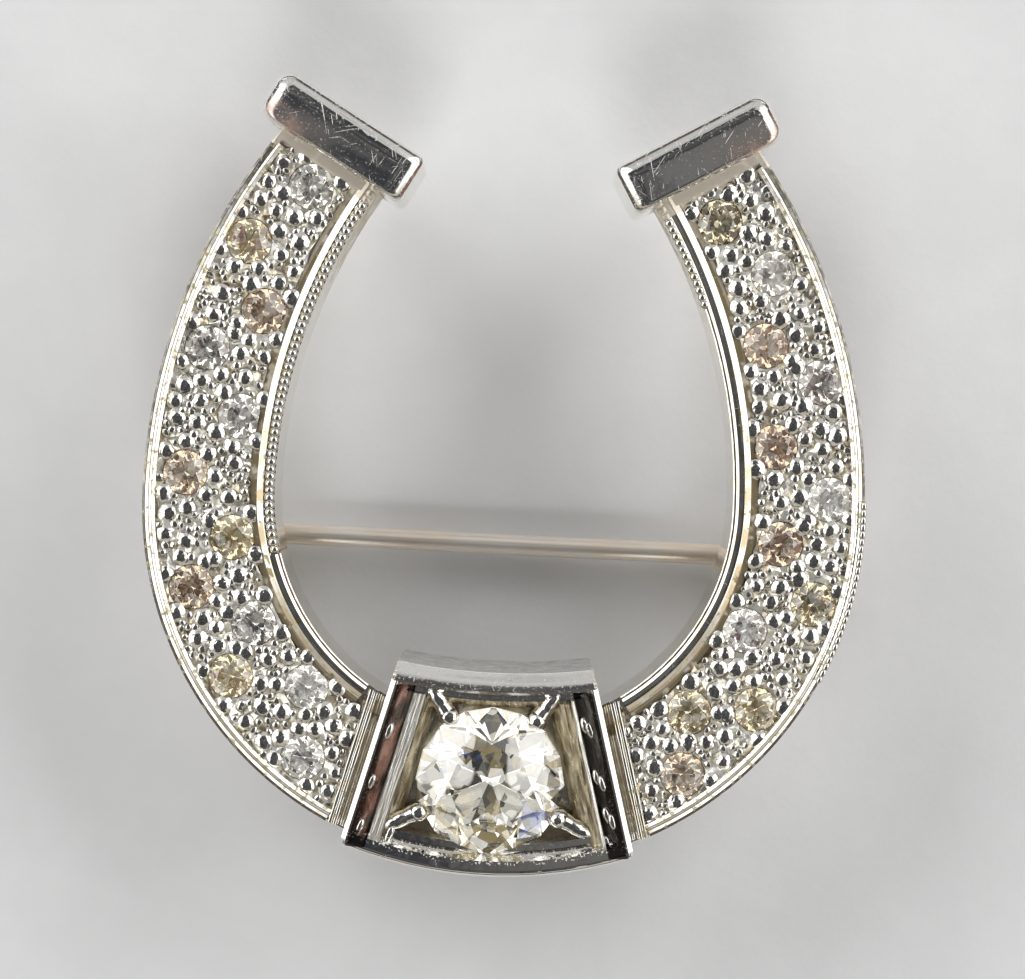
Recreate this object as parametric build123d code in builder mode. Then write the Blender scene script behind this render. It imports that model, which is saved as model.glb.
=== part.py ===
"""A horseshoe brooch: a diamond-set white metal shoe with polished heel caps and a raised toe plaque."""

from math import acos, asin, atan, cos, degrees, dist, hypot, radians, sin, tan
import os

from build123d import *

# Millimetres. The brooch is drawn face on: +X to the right, +Y to the heels, +Z out of the face, and
# Z = 0 is the top of the shoe's rims. At the end every piece is raised on to the surface that it lies on.

# Shoe outline: a half circle round the toe, then one long arc up each arm
outer_half_width = 11.9
outer_arm_radius = 20.0
outer_widest_y = -0.5
inner_half_width = 7.55
inner_arm_radius = 18.0
inner_widest_y = -0.2
shoe_depth = 1.95
rim_edge_break = 0.07

# Sunk field between the rims
outer_rim = 0.24
inner_rim = 0.30
field_depth = 0.26
outer_cut = 0.10
inner_cut = 0.27
end_cut = 0.12

# Heel caps
heel_angle = 38.0
cap_length = 5.4
cap_width = 1.68
cap_tilt = 30.0
cap_shift = 0.15
cap_rise = 0.45
cap_depth = 2.3
cap_outer_round = 0.50
cap_inner_round = 0.26
cap_edge_break = 0.24
cap_ledge = 0.30

# Toe plaque: a trapezoid with a dished top edge and a bulging bottom edge
plaque_top_y = -5.6
plaque_top_half = 3.2
plaque_top_dip = 0.26
plaque_bottom_y = -11.74
plaque_bottom_half = 4.85
plaque_bottom_bulge = 0.86
plaque_rise = 0.60
plaque_depth = 2.60
plaque_top_round = 0.48
plaque_bottom_round = 0.24
plaque_side_break = 0.07
plaque_side_rim = 0.20
plaque_top_bar = 0.62
plaque_bottom_bar = 0.45
trough_depth = 0.50
trough_side_slope = 0.62
trough_end_slope = 0.06
frame_side_wall = 0.42
frame_end_wall = 0.10
frame_rise = 0.28
well_floor_z = -0.45
claw_radius = 0.34
claw_tail_radius = 0.16
claw_reach = 0.22

# Reeded ridge on each side of the plaque
ridge_groove = 0.30
ridge_width = 0.30

# Stones, whose cut is given as shares of the diameter
centre_diameter = 4.93
centre_y = -9.50
centre_girdle_z = 0.12
small_diameter = 1.47
small_girdle_z = -0.20
table_share = 0.56
crown_share = 0.155
star_share = 0.50
girdle_share = 0.03
pavilion_share = 0.43
lower_half_share = 0.42
seat_gap = 0.03
seat_hole_share = 0.60
bead_radius = 0.29
bead_reach = 0.985
bead_sink = 0.10
stone_turn = 17.0

# Pin, hinge and catch on the back
pin_y = -1.9
pin_axis_z = -3.6
pin_radius = 0.36
pin_point_radius = 0.08
pin_point_length = 3.2
pin_overhang = 0.75
rivet_radius = 0.28
rivet_running_gap = 0.05
rivet_seat_gap = 0.02
eye_radius = 0.62
eye_length = 1.00
neck_radius = 0.45
neck_length = 0.90
ear_gap = 0.06
ear_thickness = 0.50
ear_radius = 0.85
catch_length = 1.10
catch_gap = 0.16
root_overlap = 0.20

# Places of the small stones: a share of the arm from the cap's middle to the plaque, and a share of
# half the band's width, positive towards the outer rim
left_stones = (
    # along, across
    (0.081, 0.00),
    (0.188, 0.38),
    (0.268, -0.25),
    (0.341, 0.38),
    (0.423, -0.34),
    (0.511, 0.38),
    (0.603, -0.32),
    (0.660, 0.44),
    (0.737, -0.26),
    (0.785, 0.44),
    (0.862, -0.38),
    (0.925, 0.46),
)
right_stones = (
    # along, across
    (0.096, -0.19),
    (0.192, 0.23),
    (0.284, -0.22),
    (0.350, 0.48),
    (0.430, -0.33),
    (0.506, 0.48),
    (0.572, -0.22),
    (0.642, 0.48),
    (0.712, -0.33),
    (0.795, 0.49),
    (0.861, -0.22),
    (0.920, 0.48),
)

# Middle line of the band, which the caps and the small stones follow
middle_half_width = (outer_half_width + inner_half_width) / 2
middle_arm_radius = (outer_arm_radius + inner_arm_radius) / 2
middle_widest_y = (outer_widest_y + inner_widest_y) / 2
band_half = (outer_half_width - inner_half_width) / 2
plaque_slope = (plaque_bottom_half - plaque_top_half) / (plaque_top_y - plaque_bottom_y)
plaque_secant = hypot(1, plaque_slope)
cap_turn = radians(cap_tilt)


def plaque_half(y):
    """Half the plaque's width at a height."""
    return plaque_top_half + (plaque_top_y - y) * plaque_slope


def arm_point(angle):
    """A point on the right arm's middle line, by its angle above the widest line, negative to the toe."""
    radius = middle_arm_radius if angle > 0 else middle_half_width
    turn = radians(angle)
    return (middle_half_width - radius + radius * cos(turn), middle_widest_y + radius * sin(turn))


# The arms end under the caps, whose middles lie a little outside the middle line, and at the plaque's sides
heel_x, heel_y = arm_point(heel_angle)
cap_x = heel_x + cap_shift * cos(cap_turn)
cap_y = heel_y + cap_shift * sin(cap_turn)
toe_angle = degrees(
    acos(plaque_half(middle_widest_y) / (middle_half_width * plaque_secant)) - atan(plaque_slope)
)
heel_length = middle_arm_radius * radians(heel_angle)
toe_length = middle_half_width * radians(toe_angle)


def stone_place(side, along, across):
    """A small stone's centre and the band's turn there; side is 1 on the right arm and -1 on the left."""
    length = along * (heel_length + toe_length)
    if length < heel_length:
        angle = heel_angle * (1 - length / heel_length)
    else:
        angle = -degrees((length - heel_length) / middle_half_width)
    x, y = arm_point(angle)
    x += across * band_half * cos(radians(angle))
    y += across * band_half * sin(radians(angle))
    return (side * x, y, side * angle)


small_places = {}
for side, name, rows in ((-1, "left", left_stones), (1, "right", right_stones)):
    for number, (along, across) in enumerate(rows, start=1):
        small_places[f"stone_{name}_{number:02d}"] = stone_place(side, along, across)

# Four setting beads for each small stone, without those that would stand in another stone's seat
seat_radius = small_diameter / 2 + seat_gap
bead_places = []
for x, y, turn in small_places.values():
    for corner in (45, 135, 225, 315):
        heading = radians(turn + corner)
        bead = (x + bead_reach * cos(heading), y + bead_reach * sin(heading))
        if all(dist(bead, place[:2]) > seat_radius for place in small_places.values()):
            bead_places.append(bead)

# The hinge and the catch stand under the middle of the band, at the pin's height
hinge_x = arm_point(degrees(asin((pin_y - middle_widest_y) / middle_half_width)))[0]
catch_x = -hinge_x

# The brooch lies face up on its hinge's ears and its catch, which end at the same height
ear_half = eye_length / 2 + ear_gap + ear_thickness
lie_z = pin_axis_z - ear_radius
lowest_y = plaque_bottom_y - plaque_bottom_bulge
highest_y = (
    cap_y
    + sin(cap_turn) * (cap_length / 2 - cap_outer_round)
    + cos(cap_turn) * (cap_width / 2 - cap_outer_round)
    + cap_outer_round
)


def half_band(outer_inset, inner_inset):
    """The right half of the band, with its outer and its inner edge each drawn in by an inset."""
    outer = outer_half_width - outer_inset
    outer_arm = outer_arm_radius - outer_inset
    inner = inner_half_width + inner_inset
    inner_arm = inner_arm_radius + inner_inset
    past_caps = heel_angle + 12
    with BuildSketch() as half:
        with BuildLine():
            outer_toe = CenterArc((0, outer_widest_y), outer, -90, 90)
            outer_side = CenterArc((outer - outer_arm, outer_widest_y), outer_arm, 0, past_caps)
            inner_toe = CenterArc((0, inner_widest_y), inner, -90, 90)
            inner_side = CenterArc((inner - inner_arm, inner_widest_y), inner_arm, 0, past_caps)
            Line(outer_side @ 1, inner_side @ 1)
            Line(outer_toe @ 0, inner_toe @ 0)
        make_face()
    return half.sketch


def below_caps(drop):
    """Everything to the toe side of the caps' middle lines, which a drop lowers."""
    middle_y = cap_y - cap_x * tan(cap_turn) - drop / cos(cap_turn)
    reach = 2 * outer_half_width
    with BuildSketch() as region:
        with BuildLine():
            Polyline(
                (0, middle_y),
                (reach, middle_y + reach * tan(cap_turn)),
                (reach, -reach),
                (-reach, -reach),
                (-reach, middle_y + reach * tan(cap_turn)),
                close=True,
            )
        make_face()
    return region.sketch


def beside_plaque(out):
    """The plaque's trapezoid with its sides moved out, and its ends past both edges of the band."""
    top_y = plaque_top_y / 2
    bottom_y = plaque_bottom_y * 1.5
    top_half = plaque_half(top_y) + out * plaque_secant
    bottom_half = plaque_half(bottom_y) + out * plaque_secant
    with BuildSketch() as region:
        with BuildLine():
            Polyline(
                (-top_half, top_y),
                (top_half, top_y),
                (bottom_half, bottom_y),
                (-bottom_half, bottom_y),
                close=True,
            )
        make_face()
    return region.sketch


def plaque_outline(side_inset, top_inset, bottom_inset):
    """The plaque's outline, drawn in by its own inset at the sides, the top and the bottom."""
    top_y = plaque_top_y - top_inset
    bottom_y = plaque_bottom_y + bottom_inset
    top_half = plaque_half(top_y) - side_inset * plaque_secant
    bottom_half = plaque_half(bottom_y) - side_inset * plaque_secant
    dip = plaque_top_dip * (top_half / plaque_top_half) ** 2
    bulge = plaque_bottom_bulge * (bottom_half / plaque_bottom_half) ** 2
    with BuildSketch() as outline:
        with BuildLine():
            ThreePointArc((-top_half, top_y), (0, top_y - dip), (top_half, top_y))
            Line((top_half, top_y), (bottom_half, bottom_y))
            ThreePointArc((bottom_half, bottom_y), (0, bottom_y - bulge), (-bottom_half, bottom_y))
            Line((-bottom_half, bottom_y), (-top_half, top_y))
        make_face()
    return outline.sketch


def brilliant(diameter):
    """A round brilliant with 57 facets, its girdle's top on Z = 0 and its table up."""
    radius = diameter / 2
    table = table_share * radius
    crown = crown_share * diameter
    girdle = girdle_share * diameter
    pavilion = pavilion_share * diameter
    half_step = radians(22.5)
    table_edge = table * cos(half_step)
    star = table_edge + star_share * (radius - table_edge)
    lower = lower_half_share * radius

    def ring(ring_radius, z, first):
        return [
            (ring_radius * cos(2 * k * half_step + first), ring_radius * sin(2 * k * half_step + first), z)
            for k in range(8)
        ]

    star_z = crown * (radius - star * cos(half_step)) / (radius - table)
    lower_z = -girdle - pavilion * (1 - lower * cos(half_step) / radius)
    tables = ring(table, crown, 0)
    stars = ring(star, star_z, half_step)
    mains = ring(radius, 0, 0)
    halves = ring(radius, 0, half_step)
    low_mains = ring(radius, -girdle, 0)
    low_halves = ring(radius, -girdle, half_step)
    lowers = ring(lower, lower_z, half_step)
    culet = (0, 0, -girdle - pavilion)
    outlines = [tables]
    for k in range(8):
        after = (k + 1) % 8
        outlines += [
            [tables[k], stars[k], tables[after]],
            [tables[k], stars[k - 1], mains[k], stars[k]],
            [stars[k], mains[k], halves[k]],
            [stars[k], halves[k], mains[after]],
            [mains[k], low_mains[k], low_halves[k], halves[k]],
            [halves[k], low_halves[k], low_mains[after], mains[after]],
            [low_mains[k], lowers[k], low_halves[k]],
            [low_halves[k], lowers[k], low_mains[after]],
            [culet, lowers[k - 1], low_mains[k], lowers[k]],
        ]
    facets = [Face(Wire.make_polygon(outline)) for outline in outlines]
    return Solid(Shell(facets))


def across_hinge(y):
    """The plane that cuts the hinge's axis at a height, facing the toe."""
    return Plane((hinge_x, y, pin_axis_z), x_dir=(1, 0, 0), z_dir=(0, -1, 0))


def stone_space(diameter):
    """What a stone fills and its seat gap, with an open hole below it, its girdle's top on Z = 0."""
    radius = diameter / 2
    pavilion = pavilion_share * diameter
    crown = crown_share * diameter
    edge = radius + seat_gap
    hole = seat_hole_share * radius
    slope = pavilion / radius
    seat_z = -girdle_share * diameter - 2 * seat_gap
    table = table_share * radius
    with BuildPart() as space:
        with BuildSketch(Plane.XZ):
            with BuildLine():
                Polyline(
                    (0, crown + seat_gap),
                    (table + seat_gap, crown + seat_gap),
                    (edge, seat_gap),
                    (edge, seat_z),
                    (hole, seat_z - (edge - hole) * slope),
                    (hole, seat_z - 2 * pavilion - shoe_depth),
                    (0, seat_z - 2 * pavilion - shoe_depth),
                    close=True,
                )
            make_face()
        revolve(axis=Axis.Z)
    return space.part


# Toe plaque: a box with a sloping trough, a low frame in it, and a well with claws for the centre stone
trough_z = plaque_rise - trough_depth
frame_side = plaque_side_rim + trough_side_slope
frame_top = plaque_top_bar + trough_end_slope
frame_bottom = plaque_bottom_bar + trough_end_slope
well_side = frame_side + frame_side_wall
well_top_y = plaque_top_y - frame_top - frame_end_wall
well_bottom_y = plaque_bottom_y + frame_bottom + frame_end_wall
claw_middle = centre_diameter / 2 - claw_reach + claw_radius

# A claw is a ball that bends over the girdle, with a tail that thins out to the well's corner
with BuildPart() as claws:
    for corner_y in (well_top_y, well_bottom_y):
        corner_x = plaque_half(corner_y) - well_side * plaque_secant
        reach = hypot(corner_x, corner_y - centre_y)
        for side in (-1, 1):
            heading = Vector(side * corner_x, corner_y - centre_y, 0)
            claw_plane = Plane((0, centre_y, centre_girdle_z), x_dir=heading, z_dir=(0, 0, 1))
            with BuildSketch(claw_plane) as half_claw:
                with BuildLine():
                    CenterArc((claw_middle, 0), claw_radius, 90, 90)
                    Polyline(
                        (claw_middle, claw_radius),
                        (reach, claw_tail_radius),
                        (reach, 0),
                        (claw_middle - claw_radius, 0),
                    )
                make_face()
            revolve(axis=Axis((0, centre_y, centre_girdle_z), heading))
            with BuildSketch(claw_plane):
                add(half_claw.sketch_local)
                mirror(half_claw.sketch_local, about=Plane.XZ)
            extrude(amount=well_floor_z - centre_girdle_z)

with BuildPart() as plaque:
    with BuildSketch(Plane.XY.offset(-plaque_depth)):
        add(plaque_outline(0, 0, 0))
    extrude(amount=plaque_depth + plaque_rise)
    for end, end_round in ((0, plaque_bottom_round), (-1, plaque_top_round)):
        curved = plaque.edges().group_by(Axis.Z)[-1].filter_by(GeomType.CIRCLE).sort_by(Axis.Y)
        fillet(curved[end], end_round)
    side_edges = plaque.edges().group_by(Axis.Z)[-1].filter_by(GeomType.LINE).sort_by(Axis.Y)[:2]
    chamfer(side_edges, plaque_side_break)
    with BuildSketch(Plane.XY.offset(plaque_rise)):
        add(plaque_outline(plaque_side_rim, plaque_top_bar, plaque_bottom_bar))
    with BuildSketch(Plane.XY.offset(trough_z)):
        add(plaque_outline(frame_side, frame_top, frame_bottom))
    loft(mode=Mode.SUBTRACT)
    with BuildSketch(Plane.XY.offset(trough_z)):
        add(plaque_outline(frame_side, frame_top, frame_bottom))
    extrude(amount=frame_rise - trough_z)
    with BuildSketch(Plane.XY.offset(frame_rise)):
        add(plaque_outline(well_side, frame_top + frame_end_wall, frame_bottom + frame_end_wall))
    extrude(amount=well_floor_z - frame_rise, mode=Mode.SUBTRACT)
    add(claws.part)
    with Locations((0, centre_y, centre_girdle_z)):
        add(stone_space(centre_diameter), mode=Mode.SUBTRACT)

# What the sunk field leaves open on the right arm, with bright cuts sloping in from the rims
with BuildPart() as field:
    for z, outer, inner, end in ((0, 0, 0, 0), (-field_depth, outer_cut, inner_cut, end_cut)):
        with BuildSketch(Plane.XY.offset(z)):
            add(half_band(outer_rim + outer, inner_rim + inner))
            add(below_caps(cap_width / 2 + cap_ledge + end), mode=Mode.INTERSECT)
            add(beside_plaque(ridge_groove + ridge_width + end), mode=Mode.SUBTRACT)
    loft(ruled=True)

# One heel cap, drawn on the right; the left one is its mirror image
cap_foot = Plane((cap_x, cap_y, -cap_depth), x_dir=(cos(cap_turn), sin(cap_turn), 0), z_dir=(0, 0, 1))
with BuildPart() as cap:
    with BuildSketch(cap_foot):
        Rectangle(cap_length, cap_width)
    extrude(amount=cap_depth + cap_rise)
    upright = cap.edges().filter_by(Axis.Z).sort_by(Axis.X)
    fillet(upright[2:], cap_outer_round)
    upright = cap.edges().filter_by(Axis.Z).sort_by(Axis.X)
    fillet(upright[:2], cap_inner_round)
    fillet(cap.edges().group_by(Axis.Z)[-1], cap_edge_break)

# Hinge ears and catch, whose roots run into the shoe's back
root_z = root_overlap - shoe_depth
with BuildPart() as hinge_ears:
    for ear_y in (pin_y + ear_half, pin_y - ear_half + ear_thickness):
        with BuildSketch(across_hinge(ear_y)):
            Circle(ear_radius)
            with Locations((0, (root_z - pin_axis_z) / 2)):
                Rectangle(2 * ear_radius, root_z - pin_axis_z)
            Circle(rivet_radius + rivet_seat_gap, mode=Mode.SUBTRACT)
        extrude(amount=ear_thickness)

catch_end = Plane((catch_x - catch_length / 2, pin_y, pin_axis_z), x_dir=(0, 1, 0), z_dir=(1, 0, 0))
with BuildPart() as catch:
    with BuildSketch(catch_end):
        Circle(ear_half)
        with Locations((0, -ear_radius / 2)):
            Rectangle(2 * ear_half, ear_radius)
        with Locations((0, (root_z - pin_axis_z) / 2)):
            Rectangle(ear_half, root_z - pin_axis_z)
        with Locations((0, -ear_radius - ear_half)):
            Rectangle(4 * ear_half, 2 * ear_half, mode=Mode.SUBTRACT)
        Circle(pin_radius + catch_gap, mode=Mode.SUBTRACT)
        with Locations((0, -ear_half)):
            Rectangle(2 * (pin_radius + catch_gap), 2 * ear_half, mode=Mode.SUBTRACT)
    extrude(amount=catch_length)

with BuildPart() as horseshoe:
    with BuildSketch():
        add(half_band(0, 0))
        mirror(about=Plane.YZ)
        add(below_caps(0), mode=Mode.INTERSECT)
    extrude(amount=-shoe_depth)
    chamfer(horseshoe.edges().group_by(Axis.Z)[-1], rim_edge_break)
    add(field.part, mode=Mode.SUBTRACT)
    mirror(field.part, about=Plane.YZ, mode=Mode.SUBTRACT)
    with BuildSketch():
        add(beside_plaque(ridge_groove))
    extrude(amount=-field_depth, mode=Mode.SUBTRACT)
    add(cap.part)
    mirror(cap.part, about=Plane.YZ)
    with BuildSketch():
        add(plaque_outline(0, 0, 0))
    extrude(amount=plaque_depth, both=True, mode=Mode.SUBTRACT)
    with Locations([(x, y, -field_depth - bead_sink) for x, y in bead_places]):
        Sphere(bead_radius)
    with Locations([(x, y, small_girdle_z) for x, y, turn in small_places.values()]):
        add(stone_space(small_diameter), mode=Mode.SUBTRACT)
    add(plaque.part)
    add(hinge_ears.part)
    add(catch.part)

with BuildPart() as hinge_rivet:
    with BuildSketch(across_hinge(pin_y + ear_half)):
        Circle(rivet_radius)
    extrude(amount=2 * ear_half)

pin_tip_x = catch_x - catch_length / 2 - pin_overhang
with BuildPart() as pin_stem:
    with BuildSketch(across_hinge(pin_y + eye_length / 2)):
        Circle(eye_radius)
    extrude(amount=eye_length)
    with BuildSketch(Plane.XZ.offset(-pin_y)):
        with BuildLine():
            Polyline(
                (hinge_x, pin_axis_z),
                (hinge_x, pin_axis_z + neck_radius),
                (hinge_x - eye_radius, pin_axis_z + neck_radius),
                (hinge_x - eye_radius - neck_length, pin_axis_z + pin_radius),
                (pin_tip_x + pin_point_length, pin_axis_z + pin_radius),
                (pin_tip_x, pin_axis_z + pin_point_radius),
                (pin_tip_x, pin_axis_z),
                close=True,
            )
        make_face()
    revolve(axis=Axis((hinge_x, pin_y, pin_axis_z), (1, 0, 0)))
    with Locations(Location((hinge_x, pin_y, pin_axis_z), (90, 0, 0))):
        Cylinder(rivet_radius + rivet_running_gap, 2 * eye_length, mode=Mode.SUBTRACT)

pieces = {
    "horseshoe": horseshoe.part,
    "hinge_rivet": hinge_rivet.part,
    "pin_stem": pin_stem.part,
}
with BuildPart() as centre_stone:
    with Locations((0, centre_y, centre_girdle_z)):
        add(brilliant(centre_diameter))
pieces["stone_centre"] = centre_stone.part
for number, (name, (x, y, turn)) in enumerate(small_places.items()):
    with BuildPart() as small_stone:
        with Locations(Location((x, y, small_girdle_z), (0, 0, turn + stone_turn * number))):
            add(brilliant(small_diameter))
    pieces[name] = small_stone.part

# The middle of the outline goes over the origin, and the surface that the brooch lies on is Z = 0
os.makedirs("parts", exist_ok=True)
for name, piece in pieces.items():
    raised = Pos(0, -(lowest_y + highest_y) / 2, -lie_z) * piece
    raised.label = name
    export_step(raised, f"parts/{name}.step")
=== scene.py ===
"""Finish, milgrain, grains, stage and camera of the horseshoe brooch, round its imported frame."""

import math
import random

import bpy
from mathutils import Matrix, Vector
from mathutils.geometry import delaunay_2d_cdt


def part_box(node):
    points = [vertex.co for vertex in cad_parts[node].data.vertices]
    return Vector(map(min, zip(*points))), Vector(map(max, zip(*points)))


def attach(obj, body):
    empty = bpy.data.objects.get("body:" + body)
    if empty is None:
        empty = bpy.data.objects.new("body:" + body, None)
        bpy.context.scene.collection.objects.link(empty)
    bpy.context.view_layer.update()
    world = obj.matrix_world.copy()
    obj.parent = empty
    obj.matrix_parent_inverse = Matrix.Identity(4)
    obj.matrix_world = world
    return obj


bl_info = {
    "name": "Horseshoe brooch finish",
    "version": (1, 0, 0),
    "blender": (4, 5, 0),
    "location": "View3D > Sidebar > Brooch",
    "description": "Dresses the packed horseshoe brooch and sets it on a pale floor",
    "category": "Object",
}

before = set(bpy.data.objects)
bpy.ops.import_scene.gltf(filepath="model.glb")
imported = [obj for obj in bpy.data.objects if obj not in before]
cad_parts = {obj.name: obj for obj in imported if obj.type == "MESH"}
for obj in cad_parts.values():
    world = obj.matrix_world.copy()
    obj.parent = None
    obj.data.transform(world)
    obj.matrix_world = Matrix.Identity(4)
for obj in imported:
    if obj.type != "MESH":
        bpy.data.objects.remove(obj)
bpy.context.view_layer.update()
MM = 0.001

# The shoe's outline in millimetres, drawn face on: the half circles round the toe and the arcs up the arms
OUTER_HALF_WIDTH = 11.9
OUTER_ARM_RADIUS = 20.0
OUTER_WIDEST_Y = -0.5
INNER_HALF_WIDTH = 7.55
INNER_ARM_RADIUS = 18.0
INNER_WIDEST_Y = -0.2
MIDDLE_HALF_WIDTH = (OUTER_HALF_WIDTH + INNER_HALF_WIDTH) / 2
MIDDLE_ARM_RADIUS = (OUTER_ARM_RADIUS + INNER_ARM_RADIUS) / 2
MIDDLE_WIDEST_Y = (OUTER_WIDEST_Y + INNER_WIDEST_Y) / 2
BAND_HALF = (OUTER_HALF_WIDTH - INNER_HALF_WIDTH) / 2

# Heel caps, in millimetres and degrees
CAP_TILT = math.radians(30.0)
CAP_LENGTH = 5.4
CAP_WIDTH = 1.68
CAP_OUTER_ROUND = 0.50
CAP_INNER_ROUND = 0.26
CAP_SHIFT = 0.15
CAP_LEDGE = 0.30
CAP_UPPER_INSETS = (0.0, 0.03, 0.08, 0.13, 0.21, 0.29, 0.36, 0.46, 0.56, 0.66)
HEEL_ANGLE = 38.0

# Toe plaque, in millimetres
PLAQUE_TOP_Y = -5.6
PLAQUE_TOP_HALF = 3.2
PLAQUE_TOP_DIP = 0.26
PLAQUE_BOTTOM_Y = -11.74
PLAQUE_BOTTOM_HALF = 4.85
PLAQUE_BOTTOM_BULGE = 0.86
RIDGE_GROOVE = 0.30
RIDGE_WIDTH = 0.30
WELL_INSET = 1.24
SLOPE_MIDDLE_Y = -9.05
SLOPE_HALF_LENGTH = 2.72

# Bands of the polished finish: where each begins and ends, and how wide its soft edges are. The first two
# run from -1 at the shoe's inner edge to 1 at its outer edge. The others are in millimetres: two inside the
# plaque's sides, one over its bottom line and one over a heel cap's middle.
GROOVE_BAND = (-0.76, -0.56, 0.04)
STEP_BAND = (-0.84, -0.72, 0.02)
SLOPE_BAND = (0.15, 0.83, 0.04)
# The reddish band is a painted reflection on the plaque's left slope
RED_BAND = (0.34, 0.76, 0.08, 0.06)
BOTTOM_LINE = (0.38, 0.82, 0.10, 0.12)
LEDGE_BAND = (-1.42, -0.78, 0.06)

# Stones and the beads, grains and chips round them, in millimetres
CENTRE_STONE_Y = -9.50
SMALL_RADIUS = 0.735
SMALL_TABLE_Z = 0.028
BEAD_REACH = 0.985
BEAD_TOP = -0.055
GRAIN_FLATNESS = 0.36
CHIP_CLEARANCE = 0.36
CHIP_SPACING = 0.20
ARM_BOX_START = 2.5
ARM_BOX_MARGIN = 0.6

# How often chips and grains are thrown, and the grains' spacing in each round as a share of the usual one
CHIP_THROWS = 14000
GRAIN_THROWS = 9000
GRAIN_SPACINGS = (1.08, 1.0, 0.92, 0.85)

# Seeds of the random places and turns, to which each arm adds its side, and of the grains' leans
CHIP_SEED, GRAIN_SEED, TURN_SEED, CUT_SEED, REED_SEED = 43, 11, 17, 29, 29
LEAN_SEEDS = (71, 72)

# The cut ground: its heights, its height and its corners round a stone's seat, and as shares of its pitch
# the distance between its rows, how far its corners stray and a facet's longest edge
CUT_HEIGHTS = (-0.29, -0.10)
SEAT_Z = -0.19
SEAT_CORNERS = 16
CUT_ROWS = 0.87
CUT_STRAY = 0.3
LONGEST_CUT = 3.5

DIAMOND_INDEX = 2.417

STONE_NAMES = [f"stone_{side}_{number:02d}" for side in ("left", "right") for number in range(1, 13)]
CHAMPAGNE_STONES = {
    "stone_left_02", "stone_left_07", "stone_left_10", "stone_right_01",
    "stone_right_08", "stone_right_10", "stone_right_11",
}
BROWN_STONES = {
    "stone_left_03", "stone_left_06", "stone_left_08", "stone_right_03", "stone_right_05", "stone_right_07",
    "stone_right_12",
}


def node_centre(name):
    """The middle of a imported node's box, in millimetres."""
    low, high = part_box(name)
    return (low + high) / 2 / MM


# The outline's origin in the row frame: the centre stone and the small stones' tables give it
OUTLINE_Y = node_centre("stone_centre").y - CENTRE_STONE_Y
RIM_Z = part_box(STONE_NAMES[0])[1].z / MM - SMALL_TABLE_Z


def placed(x, y, z=0.0):
    """A point of the outline's frame, in millimetres, as a point of the row frame in metres."""
    return Vector((x, y + OUTLINE_Y, z + RIM_Z)) * MM


PLAQUE_SLOPE = (PLAQUE_BOTTOM_HALF - PLAQUE_TOP_HALF) / (PLAQUE_TOP_Y - PLAQUE_BOTTOM_Y)
PLAQUE_SECANT = math.hypot(1, PLAQUE_SLOPE)


def plaque_half(y):
    """Half the plaque's width at a height of the outline."""
    return PLAQUE_TOP_HALF + (PLAQUE_TOP_Y - y) * PLAQUE_SLOPE


# The heel caps' cushions: the heights of their lowest ring and their top, the radius of their bend, its
# steepness in degrees and its steps, how far they pass the caps and how far two of their sides roll in
CAP_SKIRT = -0.16
CAP_TOP = 0.58
CAP_BEND = 0.76
CAP_STEEPNESS = 50
CAP_STEPS = 8
CAP_OVERLAP = 0.01
CAP_END_ROLL = 0.58
CAP_LOWER_ROLL = 0.13

# The middle of the right heel cap
CAP_X = (
    MIDDLE_HALF_WIDTH - MIDDLE_ARM_RADIUS + MIDDLE_ARM_RADIUS * math.cos(math.radians(HEEL_ANGLE))
    + CAP_SHIFT * math.cos(CAP_TILT)
)
CAP_Y = (
    MIDDLE_WIDEST_Y + MIDDLE_ARM_RADIUS * math.sin(math.radians(HEEL_ANGLE)) + CAP_SHIFT * math.sin(CAP_TILT)
)


def band_edge(edge, angle):
    """A point of an edge of the right arm, by its angle from the widest line, and the way out there."""
    half_width, arm_radius, widest_y = edge
    radius = arm_radius if angle > 0 else half_width
    turn = math.radians(angle)
    out = (math.cos(turn), math.sin(turn))
    return (half_width - radius + radius * out[0], widest_y + radius * out[1]), out


INNER_EDGE = (INNER_HALF_WIDTH, INNER_ARM_RADIUS, INNER_WIDEST_Y)
OUTER_EDGE = (OUTER_HALF_WIDTH, OUTER_ARM_RADIUS, OUTER_WIDEST_Y)


# Strips that dress the rims, each a list of distances into the band and heights over the rims' tops
OUTER_STRIP = 0.44
INNER_STRIP = 0.85
OUTER_PROFILE = (
    (0.00, -0.05), (0.01, 0.00), (0.09, 0.048), (0.115, 0.050), (0.20, 0.006), (0.225, 0.005),
    (0.30, 0.036), (0.32, 0.036), (0.42, -0.02), (0.45, -0.20),
)
STEP_PROFILE = ((0.37, 0.055), (0.585, -0.055), (0.63, -0.17), (0.83, -0.20), (0.85, -0.28))
INNER_PROFILE = (
    (-0.01, -0.12), (0.00, -0.03), (0.165, 0.03), (0.33, -0.012), (0.345, 0.0), *STEP_PROFILE,
)
PLAIN_PROFILE = (
    (-0.01, -0.12), (0.00, -0.05), (0.18, 0.045), (0.21, 0.052), (0.30, 0.047), (0.33, 0.02), (0.345, 0.02),
    *STEP_PROFILE,
)

# Where the strips begin at the caps and end at the plaque, and where the milgrain ends, in degrees
OUTER_ENDS = (36.0, -63.0)
INNER_ENDS = (37.0, -56.5)
MILGRAIN_END = -16.0
STRIP_STEPS = 90

# Runs of milgrain: the edge, the arm, the first and the last angle, the distance into the band, the height
WIDE_MILGRAIN = (
    (INNER_EDGE, -1, 35.0, MILGRAIN_END, 0.165, -0.07),
    (INNER_EDGE, 1, 35.0, 22.0, 0.03, -0.10),
)
NARROW_MILGRAIN = ((OUTER_EDGE, 1, 2.0, -26.0, -0.05, 0.02),)

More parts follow.
